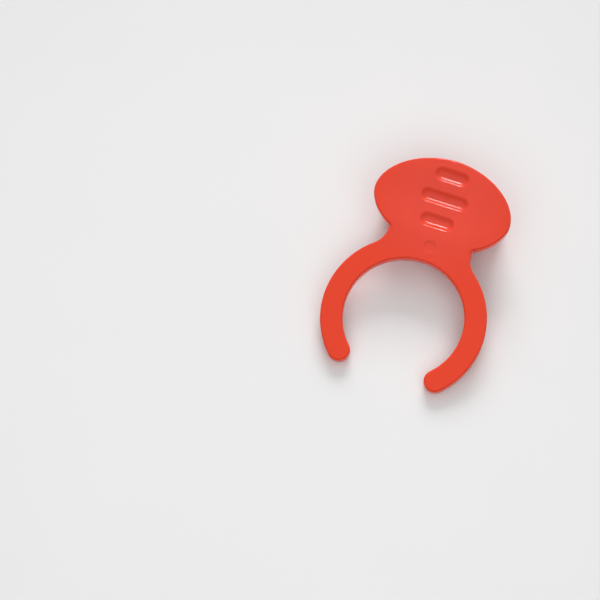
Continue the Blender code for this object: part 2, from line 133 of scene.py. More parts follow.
def ovalRings(centre, half, rows, fullness=2.0, sides=96):
    # Oval rings stacked along the sheet's z, as points and faces. A row is (scale, grow, where, lean): the
    # ring's half sizes are (half + grow) times scale, and its z is where itself, or, with lean, the z of
    # the plane that lies where above the floor
    angle = np.linspace(0, 2 * pi, sides, endpoint=False)
    c, s = np.cos(angle)[None, :], np.sin(angle)[None, :]
    scale, grow, where, lean = [np.array(column, float)[:, None] for column in zip(*rows)]
    x = centre[0] + (half[0] + grow) * scale * np.sign(c) * np.abs(c) ** (2 / fullness)
    y = centre[1] + (half[1] + grow) * scale * np.sign(s) * np.abs(s) ** (2 / fullness)
    z = np.where(lean > 0, floorDepth(y, where), where)
    return onFloor(np.stack([x, y, z], -1)), gridFaces(len(rows), sides, closed=True)


def loft(name, centre, half, rows, **shape):
    # The same rings as a piece of their own
    points, faces = ovalRings(centre, half, rows, **shape)
    return makeMesh(name, points, faces, sharpAngle=radians(40))


def rounding(radius, steps=6, flip=False):
    # A quarter circle as (inset, drop) pairs, from the wall at (0, radius) to the face at (radius, 0)
    angle = np.linspace(0, pi / 2, steps)
    pairs = list(zip(radius * (1 - np.cos(angle)), radius * (1 - np.sin(angle))))
    return pairs[::-1] if flip else pairs


def cut(target, cutters, operation="DIFFERENCE"):
    # Cuts or joins closed solids one after another, keeps the result in the target's mesh and removes them
    for cutter in cutters:
        tool = target.modifiers.new("tool", "BOOLEAN")
        tool.operation, tool.solver, tool.object = operation, "EXACT", cutter
        graph = bpy.context.evaluated_depsgraph_get()
        result = bpy.data.meshes.new_from_object(target.evaluated_get(graph))
        target.modifiers.clear()
        target.data = result
        bpy.data.objects.remove(cutter)
    return target


def superArc(halfWidth, halfHeight, fullness, start, end, count):
    # An oval's points: the cosine and sine raised to 2 / fullness, which draws the shoulders in
    angle = np.linspace(start, end, count)
    c, s = np.cos(angle), np.sin(angle)
    return np.stack([
        halfWidth * np.sign(c) * np.abs(c) ** (2 / fullness),
        halfHeight * np.sign(s) * np.abs(s) ** (2 / fullness)], -1)


def arc(centre, radius, start, end, count):
    # A circle's points between two angles
    return np.array(centre) + superArc(radius, radius, 2.0, start, end, count)


def evenly(points, count):
    # The same polyline resampled at equal steps of its own length
    run = np.concatenate([[0], np.cumsum(np.linalg.norm(np.diff(points, axis=0), axis=1))])
    at = np.linspace(0, run[-1], count)
    return np.stack([np.interp(at, run, points[:, 0]), np.interp(at, run, points[:, 1])], -1)


def inward(points):
    # Unit normals to the right of the direction of travel, which is inwards on a clockwise outline
    step = np.gradient(points, axis=0)
    step /= np.linalg.norm(step, axis=1, keepdims=True)
    return np.stack([step[:, 1], -step[:, 0]], -1)


def linear(hexColour):
    # sRGB hex to linear: the standard curve, channel by channel
    values = np.array([int(hexColour[i:i + 2], 16) / 255 for i in (1, 3, 5)])
    out = np.where(values <= 0.04045, values / 12.92, ((values + 0.055) / 1.055) ** 2.4)
    return (*out.tolist(), 1.0)


def addNode(tree, kind, settings=None, stops=(), **links):
    # One node with its settings and a colour ramp's stops. An input is named, with _ for a space, or
    # numbered as i0, i1 and so on; a socket is linked to it, and any other value is set on it
    node = tree.nodes.new(kind)
    for key, value in (settings or {}).items():
        setattr(node, key, value)
    if stops:
        elements = node.color_ramp.elements
        while len(elements) < len(stops):
            elements.new(1.0)
        for element, (position, colour) in zip(elements, stops):
            element.position, element.color = position, colour
    for key, value in links.items():
        socket = node.inputs[int(key[1:]) if key[1:].isdigit() else key.replace("_", " ")]
        if isinstance(value, bpy.types.NodeSocket):
            tree.links.new(value, socket)
        else:
            socket.default_value = value
    return node


def newMaterial(name, **values):
    # A material with values set on its shader's own sockets, and the Object coordinates its patterns read
    made = bpy.data.materials.new(name)
    made.use_nodes = True
    tree = made.node_tree
    shader = tree.nodes["Principled BSDF"]
    for key, value in values.items():
        shader.inputs[key.replace("_", " ")].default_value = value
    place = addNode(tree, "ShaderNodeTexCoord").outputs["Object"]
    return made, tree, shader, place


vermilion = {
    # The pale tint is a painted sheen at the middle of the plate; the deep tint is the colour along the
    # ring, where that painted sheen has run out
    "body": "#ed3c1c",
    "deep": "#ed390c",
    "paintedSheenTint": "#ed422a",
    "paintedSheenPast": 0.5 * mm,       # how far past the plate's centre the painted sheen's palest spot lies
    "paintedSheenWithin": 3.0 * mm,     # how far from that spot the painted sheen stays full
    "deepBeyond": 17.0 * mm,
    "streakWidth": 5.0 * mm,
    "streakTint": (0.955, 0.93, 0.93, 1),
    "scuffWidth": 0.6 * mm,
    "polish": (0.13, 0.2),      # lowest and highest roughness
    "peelWave": 1.6 * mm,
    "peelHeight": 0.018 * mm,
    "grain": 0.3 * mm,
    "grainHeight": 0.004 * mm,
}


def mouldedGlossAbs(name, k, plateMiddle):
    # Injection-moulded gloss ABS: full colour with a clear even sheen and a faint orange-peel in the
    # reflections. Over the colour lies a painted sheen: a touch paler at the dished middle of the plate,
    # and a touch deeper along the ring where that painted sheen runs out
    made, tree, shader, place = newMaterial(name, IOR=1.53)
    body, deep, paintedSheenTint = linear(k["body"]), linear(k["deep"]), linear(k["paintedSheenTint"])
    # Painted sheen: the colour is palest round the plate's middle and deepens with distance from it
    fromMiddle = addNode(tree, "ShaderNodeVectorMath", {"operation": "DISTANCE"}, i0=place, i1=plateMiddle)
    near = addNode(tree, "ShaderNodeMapRange", {"interpolation_type": "SMOOTHSTEP"},
                   Value=fromMiddle.outputs["Value"], From_Min=k["paintedSheenWithin"], From_Max=k["deepBeyond"],
                   To_Min=0.0, To_Max=1.0)
    # Pigment streaks left by the flow of the melt: clouds about twice as long as they are wide
    stretch = addNode(tree, "ShaderNodeMapping", Vector=place, Scale=(1.0, 0.45, 1.0))
    cloud = addNode(tree, "ShaderNodeTexNoise", Vector=stretch.outputs["Vector"],
                    Scale=1 / k["streakWidth"], Detail=3.0, Roughness=0.55)
    paintedSheen = addNode(tree, "ShaderNodeValToRGB", stops=[(0.0, paintedSheenTint), (0.55, body), (1.0, deep)],
                    Fac=near.outputs["Result"])
    streaks = addNode(tree, "ShaderNodeValToRGB",
                      stops=[(0.3, k["streakTint"]), (0.7, (1, 1, 1, 1))], Fac=cloud.outputs["Fac"])
    mixed = addNode(tree, "ShaderNodeMix", {"data_type": "RGBA", "blend_type": "MULTIPLY"}, i0=1.0,
                    i6=paintedSheen.outputs["Color"], i7=streaks.outputs["Color"])
    tree.links.new(mixed.outputs[2], shader.inputs["Base Color"])
    # Handling marks change the gloss by a few hundredths; real ones are about 0.1 mm wide, and these are
    # drawn 0.6 mm apart so that they show
    scuffs = addNode(tree, "ShaderNodeTexNoise", Vector=place, Scale=1 / k["scuffWidth"], Detail=4.0)
    gloss = addNode(tree, "ShaderNodeMapRange", Value=scuffs.outputs["Fac"], From_Min=0.3, From_Max=0.75,
                    To_Min=k["polish"][0], To_Max=k["polish"][1])
    tree.links.new(gloss.outputs["Result"], shader.inputs["Roughness"])
    # Orange-peel of a polished mould: waves about 1.6 mm apart and a few microns high, and over them the
    # polishing grain, really near 0.02 mm and drawn 0.3 mm wide
    peel = addNode(tree, "ShaderNodeTexNoise", Vector=place, Scale=1 / k["peelWave"], Detail=1.0)
    grain = addNode(tree, "ShaderNodeTexNoise", Vector=place, Scale=1 / k["grain"], Detail=2.0)
    low = addNode(tree, "ShaderNodeBump", Height=peel.outputs["Fac"], Strength=0.3,
                  Distance=k["peelHeight"])
    high = addNode(tree, "ShaderNodeBump", Height=grain.outputs["Fac"], Strength=0.15,
                   Distance=k["grainHeight"], Normal=low.outputs["Normal"])
    tree.links.new(high.outputs["Normal"], shader.inputs["Normal"])
    return made


def sparkErodedAbs(name, k):
    # ABS from a spark-eroded mould: the same plastic with a fine even grit that breaks up its sheen. The
    # real grit is near 0.05 mm, and it is drawn coarser so that it shows
    made, tree, shader, place = newMaterial(name, IOR=1.53)
    body, dark = linear(k["body"]), linear(k["dark"])
    cells = addNode(tree, "ShaderNodeTexVoronoi", {"feature": "SMOOTH_F1"}, Vector=place,
                    Scale=1 / k["grit"])
    # Soft clouds of slightly deeper colour and rougher skin, where the melt cooled first
    cloud = addNode(tree, "ShaderNodeTexNoise", Vector=place, Scale=1 / k["cloudWidth"], Detail=3.0)
    colour = addNode(tree, "ShaderNodeValToRGB", stops=[(0.3, dark), (0.7, body)],
                     Fac=cloud.outputs["Fac"])
    tree.links.new(colour.outputs["Color"], shader.inputs["Base Color"])
    polish = addNode(tree, "ShaderNodeMapRange", Value=cloud.outputs["Fac"], From_Min=0.3, From_Max=0.7,
                     To_Min=k["roughness"] + 0.05, To_Max=k["roughness"] - 0.05)
    tree.links.new(polish.outputs["Result"], shader.inputs["Roughness"])
    bump = addNode(tree, "ShaderNodeBump", Height=cells.outputs["Distance"], Strength=0.5,
                   Distance=k["gritHeight"])
    tree.links.new(bump.outputs["Normal"], shader.inputs["Normal"])
    return made


def workedMetal(name, colour, roughness, lineSpacing, stretch):
    # Rolled, turned or plated metal: a hard sheen broken by fine tool lines. Real lines are near 0.01 mm
    # apart, and these are drawn several times coarser so that they show
    made, tree, shader, place = newMaterial(name, Metallic=1.0, Base_Color=linear(colour))
    lined = addNode(tree, "ShaderNodeMapping", Vector=place, Scale=stretch)
    lines = addNode(tree, "ShaderNodeTexNoise", Vector=lined.outputs["Vector"], Scale=1 / lineSpacing,
                    Detail=3.0)
    spread = addNode(tree, "ShaderNodeMapRange", Value=lines.outputs["Fac"], From_Min=0.3, From_Max=0.7,
                     To_Min=roughness - 0.07, To_Max=roughness + 0.1)
    tree.links.new(spread.outputs["Result"], shader.inputs["Roughness"])
    bump = addNode(tree, "ShaderNodeBump", Height=lines.outputs["Fac"], Strength=0.3, Distance=0.01 * mm)
    tree.links.new(bump.outputs["Normal"], shader.inputs["Normal"])
    return made


def paint(thing, finish):
    # The piece gets this one finish in place of any that it had
    thing.data.materials.clear()
    thing.data.materials.append(finish)


# Sizes shared by the cover, the button, the screws and the mouldings behind the plate
housing = {
    "middleY": 20.345 * mm,
    "coverHalf": (10.3 * mm, 6.175 * mm),
    "wall": 1.0 * mm,
    "fit": 0.2 * mm,
    "ribHeight": 1.0 * mm,
    "ribThickness": 0.6 * mm,
    "screwX": 7.2 * mm,
    "screwHole": 0.85 * mm,
    "screwHoleTop": -2.1 * mm,
    "seatHeight": 1.4259 * mm,      # of the screw heads' seats over the floor, at the middle
    "bossRadius": 1.55 * mm,
    "bossEnd": -4.2 * mm,
    "clampX": -4.45 * mm,
    "pedestalHalf": (1.0 * mm, 3.0 * mm),
    "pedestalEnd": -3.3 * mm,
    "stopHalf": (0.9 * mm, 0.9 * mm),
    "stopEnd": -2.5 * mm,
    "rimRound": 0.12 * mm,
    "buttonX": 0.15 * mm,
}
housing["screwSeat"] = floorDepth(housing["middleY"], housing["seatHeight"])


ringPlate = {
    "dishMargin": 1.5 * mm,
    "dishDepth": 0.35 * mm,
    "grooveLengths": (5.7 * mm, 8.0 * mm, 5.7 * mm),
    "groovePitch": 4.05 * mm,
    "groovesPastCentre": 1.25 * mm,
    "grooveHalfWidth": 1.3 * mm,
    "grooveFloor": 0.1 * mm,    # half the width of its flat floor
    "grooveRunOut": 0.2 * mm,   # how far each end of a groove fades past its length
    "grooveDepth": 0.42 * mm,
    "groovePower": 1.5,         # more than 1 widens the turn at a groove's floor
    "ejectorMark": (0.3 * mm, 12.7 * mm),
    "ejectorMarkRadius": 0.95 * mm,
    "ejectorMarkDepth": 0.1 * mm,
    "ejectorMarkWall": 0.05 * mm,
    "plateStations": 120,
    "ringStations": 64,
    "tipStations": 16,
    "plateColumns": 100,
    "rimRows": 7,
}


def frontHeight(x, y):
    # z of the front face before its edge is rounded: minus the dish, the grooves and the ejector mark
    k = ringPlate
    dy = y - sheet["plateCentre"]
    reach = np.where(dy > 0, sheet["plateFar"], sheet["plateNear"]) - k["dishMargin"]
    out = np.sqrt((x / (sheet["plateHalfWidth"] - k["dishMargin"])) ** 2 + (dy / reach) ** 2)
    # The dish is a bowl whose slope dies out at its rim: depth times (1 - r squared) ** 1.5
    z = -k["dishDepth"] * np.clip(1 - out ** 2, 0, 1) ** 1.5
    for index, length in enumerate(k["grooveLengths"]):
        gy = sheet["plateCentre"] + k["groovesPastCentre"] + (index - 1) * k["groovePitch"]
        past = np.maximum(np.abs(x) - (length / 2 + k["grooveRunOut"] - k["grooveHalfWidth"]), 0)
        away = np.hypot(past, y - gy)
        # A channel: half a cosine wave leads from its floor up each wall to the lip, and a power of the
        # distance makes the turn at the floor wide and the one at the lip tighter
        wall = np.clip((away - k["grooveFloor"]) / (k["grooveHalfWidth"] - k["grooveFloor"]), 0, 1)
        z -= k["grooveDepth"] * (1 + np.cos(pi * wall ** k["groovePower"])) / 2
    # The round mark left by the ejector pin: a flat disc sunk with a soft wall
    mark = np.hypot(x - k["ejectorMark"][0], y - k["ejectorMark"][1]) - k["ejectorMarkRadius"]
    z -= k["ejectorMarkDepth"] / (1 + np.exp(np.clip(mark / k["ejectorMarkWall"], -40, 40)))
    return z


def rightHalfStations():
    # Matching points on the right half's outer edge, its inner edge and the bend between them, with
    # inward normals: the plate's edge, the notch as a fan, the neck, the ring and the rounded tip
    s, k = sheet, ringPlate
    full = s["plateFullness"]
    centre = np.array([0.0, s["plateCentre"]])
    notchAngle = acos((s["neckHalfWidth"] / s["plateHalfWidth"]) ** (full / 2))
    far = centre + superArc(s["plateHalfWidth"], s["plateFar"], full, pi / 2, 0, 400)
    near = centre + superArc(s["plateHalfWidth"], s["plateNear"], full, 0, -notchAngle, 400)
    plate = evenly(np.concatenate([far, near[1:]]), k["plateStations"])
    plateIn = inward(plate)
    plateIn[0] = (0, -1)
    filletX = s["neckHalfWidth"] + s["neckFillet"]
    filletY = sqrt((s["ringOuter"] + s["neckFillet"]) ** 2 - filletX ** 2)
    touch = atan2(filletY, filletX)
    notch = plate[-1]
    neck = np.array([notch, (s["neckHalfWidth"], (notch[1] + filletY) / 2)])
    fillet = arc((filletX, filletY), s["neckFillet"], -pi, touch - pi, 22)
    neckSide = np.concatenate([neck, fillet])
    neckIn = inward(neckSide)
    neckIn[:3] = (-1, 0)
    turn = np.linspace(0, 1, 8)[1:-1, None]
    fanIn = plateIn[-1] * (1 - turn) + neckIn[0] * turn
    fanIn /= np.linalg.norm(fanIn, axis=1, keepdims=True)
    fan = np.repeat(notch[None], len(fanIn), axis=0)
    tip = s["mouthHalfAngle"] - pi / 2
    angle = np.linspace(touch, tip, k["ringStations"])
    radial = np.stack([np.cos(angle), np.sin(angle)], -1)[1:]
    tipCentre = bandMiddle * np.array([cos(tip), sin(tip)])
    sweep = np.linspace(0, pi / 2, k["tipStations"])[1:]
    outTip = np.stack([np.cos(tip - sweep), np.sin(tip - sweep)], -1)
    inTip = np.stack([np.cos(tip + pi + sweep), np.sin(tip + pi + sweep)], -1)
    outer = np.concatenate([plate, fan, neckSide, s["ringOuter"] * radial, tipCentre + bandHalf * outTip])
    outerIn = np.concatenate([plateIn, fanIn, neckIn, -radial, -outTip])
    count = len(plate) + len(fan) + len(neckSide)
    # The plate's and neck's stations share the top of the ring's inner edge
    share = np.linspace(0, 1, count)
    top = pi / 2 + (touch - pi / 2) * share
    topIn = np.stack([np.cos(top), np.sin(top)], -1)
    inner = np.concatenate([s["ringInner"] * topIn, s["ringInner"] * radial, tipCentre + bandHalf * inTip])
    innerIn = np.concatenate([topIn, radial, -inTip])
    # The bend lies on the neck line for the plate, and slides to mid-band along the neck's side
    middle = (inner + outer + soft * (innerIn + outerIn)) / 2
    p = len(plate)
    middle[:p, 0] = s["neckLineHalf"] * np.linspace(0, 1, p) ** 1.15
    middle[:p, 1] = s["neckLine"] - s["neckLineSag"] * np.linspace(0, 1, p) ** 2
    blend = np.linspace(0, 1, count - p + 1)[1:, None] ** 1.5
    middle[p:count] = middle[p - 1] * (1 - blend) + middle[p:count] * blend
    return outer, outerIn, inner, innerIn, middle


def layout(outer, outerIn, inner, innerIn, middle, innerColumns, plateColumns):
    # Each station's row of points: the inner rim's rounding, across to the bend, on to the outer rim's
    # rounding. The rounding is a quarter circle: inset r(1 - cos), drop r(1 - sin)
    quarter = np.linspace(0, pi / 2, ringPlate["rimRows"])
    inset = soft * (1 - np.cos(quarter))
    drop = soft * (1 - np.sin(quarter))
    innerRim = inner[:, None] + innerIn[:, None] * inset[None, :, None]
    outerRim = outer[:, None] + outerIn[:, None] * inset[None, ::-1, None]
    toBend = np.linspace(0, 1, innerColumns)[None, 1:, None]
    toEdge = np.linspace(0, 1, plateColumns)[None, 1:-1, None]
    first = innerRim[:, -1:] * (1 - toBend) + middle[:, None] * toBend
    second = middle[:, None] * (1 - toEdge) + outerRim[:, :1] * toEdge
    flat = np.concatenate([innerRim, first, second, outerRim], axis=1)
    rimDrop = np.concatenate([drop, np.zeros(innerColumns - 1 + plateColumns - 2), drop[::-1]])
    return flat, rimDrop


def mirrored(flat):
    # The left half is the right half's mirror image, joined to it at the middle of the plate
    left = flat[::-1] * np.array([-1.0, 1.0])
    return np.concatenate([left[:-1], flat])


def makeRingPlate():
    # The front is a fine grid over the stations and the back a coarser one at the sheet's thickness; the
    # wall joins them, and the mouldings behind the plate are added to the same mesh
    stations = rightHalfStations()
    flat, rimDrop = layout(*stations, 14, ringPlate["plateColumns"])
    flat = mirrored(flat)
    frontZ = frontHeight(flat[..., 0], flat[..., 1]) - rimDrop
    front = np.concatenate([flat, frontZ[..., None]], -1)
    backFlat, backDrop = layout(*stations, 8, 16)
    backFlat = mirrored(backFlat)
    backZ = np.broadcast_to(backDrop - sheet["thickness"], backFlat.shape[:2])
    back = np.concatenate([backFlat, backZ[..., None]], -1)
    rows, frontColumns, backColumns = front.shape[0], front.shape[1], back.shape[1]
    offset = rows * frontColumns
    faces = [gridFaces(rows, frontColumns), gridFaces(rows, backColumns, start=offset)]
    # The straight part of the wall joins the two rims, on the inner and on the outer edge
    i = np.arange(rows - 1)
    for frontColumn, backColumn in ((0, 0), (frontColumns - 1, backColumns - 1)):
        a = i * frontColumns + frontColumn
        b = offset + i * backColumns + backColumn
        faces.append(np.stack([a, a + frontColumns, b + backColumns, b], -1))
    points = [onFloor(np.concatenate([front.reshape(-1, 3), back.reshape(-1, 3)]))]
    faces = [np.concatenate(faces)]
    for morePoints, moreFaces in backFeatures():
        faces.append(moreFaces + sum(len(block) for block in points))
        points.append(morePoints.reshape(-1, 3))
    return makeMesh("ring_and_thumb_plate", np.concatenate(points), np.concatenate(faces),
                    sharpAngle=radians(50))


def backFeatures():
    # The mouldings behind the plate, each a closed solid sunk half way into the sheet: the oval rib, the
    # two screw bosses with their blind holes, the pedestal of the leaf and the leaf's stop
    inside, back = -sheet["thickness"] / 2, -sheet["thickness"]
    middle = (0.0, housing["middleY"])
    ribEnd = back - housing["ribHeight"]
    wide = housing["coverHalf"][0] - housing["wall"] - housing["fit"]
    tall = housing["coverHalf"][1] - housing["wall"] - housing["fit"]
    rim = housing["rimRound"]
    rib = [(1, 0, inside, 0), (1, 0, ribEnd + rim, 0), (1, -rim, ribEnd, 0),
           (1, rim - housing["ribThickness"], ribEnd, 0), (1, -housing["ribThickness"], ribEnd + rim, 0),
           (1, -housing["ribThickness"], inside, 0), (1, 0, inside, 0)]
    made = [ovalRings(middle, (wide, tall), rib, sides=160)]
    for x in (-housing["screwX"], housing["screwX"]):
        radius, hole, end = housing["bossRadius"], housing["screwHole"], housing["bossEnd"]
        boss = [(0, 0, inside, 0), (1, 0, inside, 0), (1, 0, end + rim, 0), (1, -rim, end, 0),
                (1, hole + rim - radius, end, 0), (1, hole - radius, end + rim, 0),
                (1, hole - radius, housing["screwHoleTop"], 0), (0, 0, housing["screwHoleTop"], 0)]
        made.append(ovalRings((x, housing["middleY"]), (radius, radius), boss, sides=48))
    block = [(0, 0, inside, 0), (1, 0, inside, 0), (1, 0, housing["pedestalEnd"] + rim, 0),
             (1, -rim, housing["pedestalEnd"], 0), (0, 0, housing["pedestalEnd"], 0)]
    made.append(ovalRings((housing["clampX"], housing["middleY"]), housing["pedestalHalf"], block,
                          fullness=14.0, sides=64))
    stop = [(0, 0, inside, 0), (1, 0, inside, 0), (1, 0, housing["stopEnd"] + 2 * rim, 0),
            (1, -2 * rim, housing["stopEnd"], 0), (0, 0, housing["stopEnd"], 0)]
    made.append(ovalRings((housing["buttonX"], housing["middleY"]), housing["stopHalf"], stop, sides=32))
    return made


# The centre of the painted sheen on the plate, a little past the plate's middle
plateMiddle = onFloor(np.array([0.0, sheet["plateCentre"] + vermilion["paintedSheenPast"], 0.0])).tolist()
glossRed = mouldedGlossAbs("moulded gloss ABS, vermilion", vermilion, plateMiddle)
ring = makeRingPlate()
paint(ring, glossRed)
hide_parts("ring_plate")
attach(ring, "clicker_body")
print("ring and thumb plate:", len(ring.data.polygons), "faces")


# The hidden metal pieces keep their CAD shapes
springSteel = workedMetal("rolled spring steel strip", "#c3c6ca", 0.24, 0.05 * mm, (0.05, 1, 1))
nickel = workedMetal("nickel-plated steel", "#b9b4a8", 0.3, 0.2 * mm, (1, 1, 1))
brass = workedMetal("turned brass", "#c9a45a", 0.28, 0.06 * mm, (1, 1, 0.1))
for name, finish in (
    ("click_leaf", springSteel),
    ("leaf_clamp", nickel),
    ("leaf_rivet_near", brass),
    ("leaf_rivet_far", brass),
):
    paint(nodes[name], finish)
print("hidden pieces painted")


cover = {
    "edgeRound": 0.6 * mm,
    "innerRound": 0.4 * mm,
    "rimRound": 0.15 * mm,
    "buttonMouth": 3.2 * mm,
    "counterbore": 1.5 * mm,
    "column": 2.2 * mm,
    "flare": 0.2 * mm,
    "slotHalf": (0.8 * mm, 0.35 * mm),
    "slotPitch": 2.6 * mm,
    "slotY": 24.53 * mm,
    "body": "#dc3c26",
    "dark": "#d23620",
    "grit": 0.36 * mm,
    "gritHeight": 0.02 * mm,
    "cloudWidth": 4.0 * mm,
    "roughness": 0.42,
}


def makeCover():
    # An oval cup: its open rim is square to the sheet and its back lies in the plane of the floor
    c, wall = cover, housing["wall"]
    top = -sheet["thickness"] - housing["fit"]
    rim = [(1, -inset, top - drop, 0) for inset, drop in rounding(c["rimRound"], 4, flip=True)]
    edge = [(1, -inset, drop, 1) for inset, drop in rounding(c["edgeRound"], 8)]
    # Rings across the flat back, outside and inside, so that its faces stay even
    backFace = [(scale, -c["edgeRound"], 0, 1) for scale in (0.8, 0.5, 0.2, 0)]
    r = c["innerRound"]
    innerFace = [(scale, -wall - r, wall, 1) for scale in (0, 0.3, 0.7)]
    innerEdge = [(1, -wall - inset, wall + drop, 1) for inset, drop in rounding(r, 6, flip=True)]
    innerRim = [(1, -wall, top, 0), (1, -c["rimRound"], top, 0)]
    rows = rim + edge + backFace + innerFace + innerEdge + innerRim
    made = loft("oval_back_cover", (0.0, housing["middleY"]), housing["coverHalf"], rows, sides=200)
    seat = housing["screwSeat"]
    postTop = housing["bossEnd"] - housing["fit"]
    wider = c["column"] - housing["bossRadius"]
    joined, cutters = [], []
    for side, x in (("left", -housing["screwX"]), ("right", housing["screwX"])):
        at = (x, housing["middleY"])
        # A post that meets the boss, on a wider column sunk half way into the back
        post = [(0, 0, postTop, 0), (1, 0, postTop, 0), (1, 0, seat + wall / 2, 0),
                (1, wider, seat + wall / 2, 0), (1, wider, wall / 2, 1), (0, 0, wall / 2, 1)]
        joined.append(loft("post_" + side, at, (housing["bossRadius"],) * 2, post, sides=72))
        # The hole for the shank, the wider seat of the head, and the flare at the mouth
        step = c["counterbore"] - housing["screwHole"]
        hole = [(0, 0, -3 * mm, 0), (1, 0, -3 * mm, 0), (1, 0, seat, 0), (1, step, seat, 0),
                (1, step, c["flare"], 1), (1, step + 2 * c["flare"], -c["flare"], 1),
                (0, 0, -c["flare"], 1)]
        cutters.append(loft("screw_hole_" + side, at, (housing["screwHole"],) * 2, hole, sides=72))
    mouth = [(0, 0, 2 * wall, 1), (1, 0, 2 * wall, 1), (1, 0, c["flare"], 1),
             (1, 2 * c["flare"], -c["flare"], 1), (0, 0, -c["flare"], 1)]
    cutters.append(loft("button_mouth", (housing["buttonX"], housing["middleY"]), (c["buttonMouth"],) * 2,
                        mouth, sides=128))
    slotFlare = c["flare"] / 2
    slot = [(0, 0, 2 * wall, 1), (1, 0, 2 * wall, 1), (1, 0, slotFlare, 1),
            (1, 2 * slotFlare, -slotFlare, 1), (0, 0, -slotFlare, 1)]
    for index in range(3):
        at = ((index - 1) * c["slotPitch"], c["slotY"])
        cutters.append(loft("slot_%d" % index, at, c["slotHalf"], slot, fullness=3.6, sides=64))
    cut(made, joined, "UNION")
    cut(made, cutters)
    made.data.shade_smooth()
    made.data.set_sharp_from_angle(angle=radians(35))
    return made


backCover = makeCover()
paint(backCover, sparkErodedAbs("spark-eroded ABS, vermilion", cover))
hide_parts("back_cover")
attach(backCover, "clicker_body")
print("cover:", len(backCover.data.polygons), "faces")


pressButton = {
    "radius": 3.0 * mm,
    "lipRadius": 3.4 * mm,
    "recess": 0.2 * mm,
    "lipLow": 1.2 * mm,
    "lipTop": 1.8 * mm,
    "edgeRound": 0.35 * mm,
    "dishRadius": 2.35 * mm,
    "dishDepth": 0.16 * mm,
    "plungerRadius": 0.8 * mm,
    "plungerEnd": -4.35 * mm,
    "lipRound": 0.1 * mm,
    "body": "#4a4d52",
    "dark": "#404347",
    "grit": 0.3 * mm,
    "gritHeight": 0.02 * mm,
    "cloudWidth": 4.0 * mm,
    "roughness": 0.45,
}


def makeButton():
    # A cap with a finger dish, a lip that keeps it in the cover, and a plunger up to the leaf's dimple
    b = pressButton
    radius, low = b["radius"], b["recess"]
    # The dish is a shallow bowl: depth times (1 - r squared) squared, so it leaves the face smoothly
    dish = [(scale * b["dishRadius"] / radius, 0, low + b["dishDepth"] * (1 - scale ** 2) ** 2, 1)
            for scale in np.linspace(0, 1, 14)]
    edge = [(1, -inset, low + drop, 1) for inset, drop in rounding(b["edgeRound"], 7, flip=True)]
    lip, soften = b["lipRadius"] - radius, b["lipRound"]
    rows = dish + edge + [(1, 0, b["lipLow"], 1), (1, lip - soften, b["lipLow"], 1),
                          (1, lip, b["lipLow"] + soften, 1), (1, lip, b["lipTop"] - soften, 1),
                          (1, lip - soften, b["lipTop"], 1)]
    thin = b["plungerRadius"] - radius
    rows += [(1, thin, b["lipTop"], 1), (1, thin, b["plungerEnd"] - soften, 0),
             (1, thin - soften, b["plungerEnd"], 0), (0, 0, b["plungerEnd"], 0)]
    return loft("dished_press_button", (housing["buttonX"], housing["middleY"]), (radius, radius), rows,
                sides=112)


pressCap = makeButton()
paint(pressCap, sparkErodedAbs("spark-eroded ABS, slate grey", pressButton))
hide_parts("button")
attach(pressCap, "press_button")
print("button:", len(pressCap.data.polygons), "faces")

coverScrew = {
    "shank": 0.65 * mm,
    "head": 1.3 * mm,
    "headHeight": 0.7 * mm,
    "bite": 1.9 * mm,
    "threadPitch": 0.5 * mm,
    "threadDepth": 0.09 * mm,
    "threadStop": 0.3 * mm,
    "crossLength": 0.75 * mm,
    "crossWidth": 0.17 * mm,
    "crossDepth": 0.35 * mm,
    "crossTaper": 0.05 * mm,
    "tipWidth": 0.55,           # of the shank's width
    "rimHeight": 0.45,          # of the head's height, where the dome starts
    "crownWidth": 0.62,         # of the head's width, where the dome ends in a flat
}


def makeScrew(side, x):
    # A pan-head screw: domed head, thread as stacked ridges on the shank, and a cross recess
    k = coverScrew
    seat = housing["screwSeat"] - housing["fit"]
    tip = housing["bossEnd"] + k["bite"]
    shank, head = k["shank"], k["head"]
    # The tip widens to the thread's root over most of a shank's radius, and the thread stops short of the
    # head
    rows = [(0, 0, tip, 0), (k["tipWidth"], 0, tip, 0), (1, -k["threadDepth"], tip - 0.9 * shank, 0)]
    run = np.arange(tip - 1.1 * shank, seat + k["threadStop"], -k["threadPitch"] / 2)
    rows += [(1, -k["threadDepth"] * (index % 2), z, 0) for index, z in enumerate(run)]
    rows += [(1, -k["threadDepth"], seat, 0), (1, head - shank, seat, 0),
             (1, head - shank, seat - k["rimHeight"] * k["headHeight"], 0)]
    # The dome falls away as a quarter of an oval
    turn = np.linspace(0, pi / 2, 9)[1:]
    for c, s in zip(np.cos(turn), np.sin(turn)):
        radius = head * (k["crownWidth"] + (1 - k["crownWidth"]) * c)
        drop = k["headHeight"] * (k["rimHeight"] + (1 - k["rimHeight"]) * s)
        rows.append((1, radius - shank, seat - drop, 0))
    rows.append((0, 0, seat - k["headHeight"], 0))
    made = loft("pan_head_screw_" + side, (x, housing["middleY"]), (shank, shank), rows, sides=56)
    top = seat - k["headHeight"]
    above = top - housing["fit"]
    arm = [(0, 0, top + k["crossDepth"], 0), (1, -k["crossTaper"], top + k["crossDepth"], 0),
           (1, k["crossTaper"], above, 0), (0, 0, above, 0)]
    long, short = k["crossLength"], k["crossWidth"]
    cross = [loft("arm_%d" % index, (x, housing["middleY"]), half, arm, fullness=8.0, sides=48)
             for index, half in enumerate(((long, short), (short, long)))]
    cut(made, cross)
    made.data.shade_smooth()
    made.data.set_sharp_from_angle(angle=radians(35))
    return made


zinc = workedMetal("zinc-plated screw steel", "#b4b8bc", 0.3, 0.12 * mm, (1, 1, 0.3))
for side, x in (("left", -housing["screwX"]), ("right", housing["screwX"])):
    screw = makeScrew(side, x)
    paint(screw, zinc)
    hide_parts("cover_screw_" + side)
    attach(screw, "clicker_body")
print("screws made")


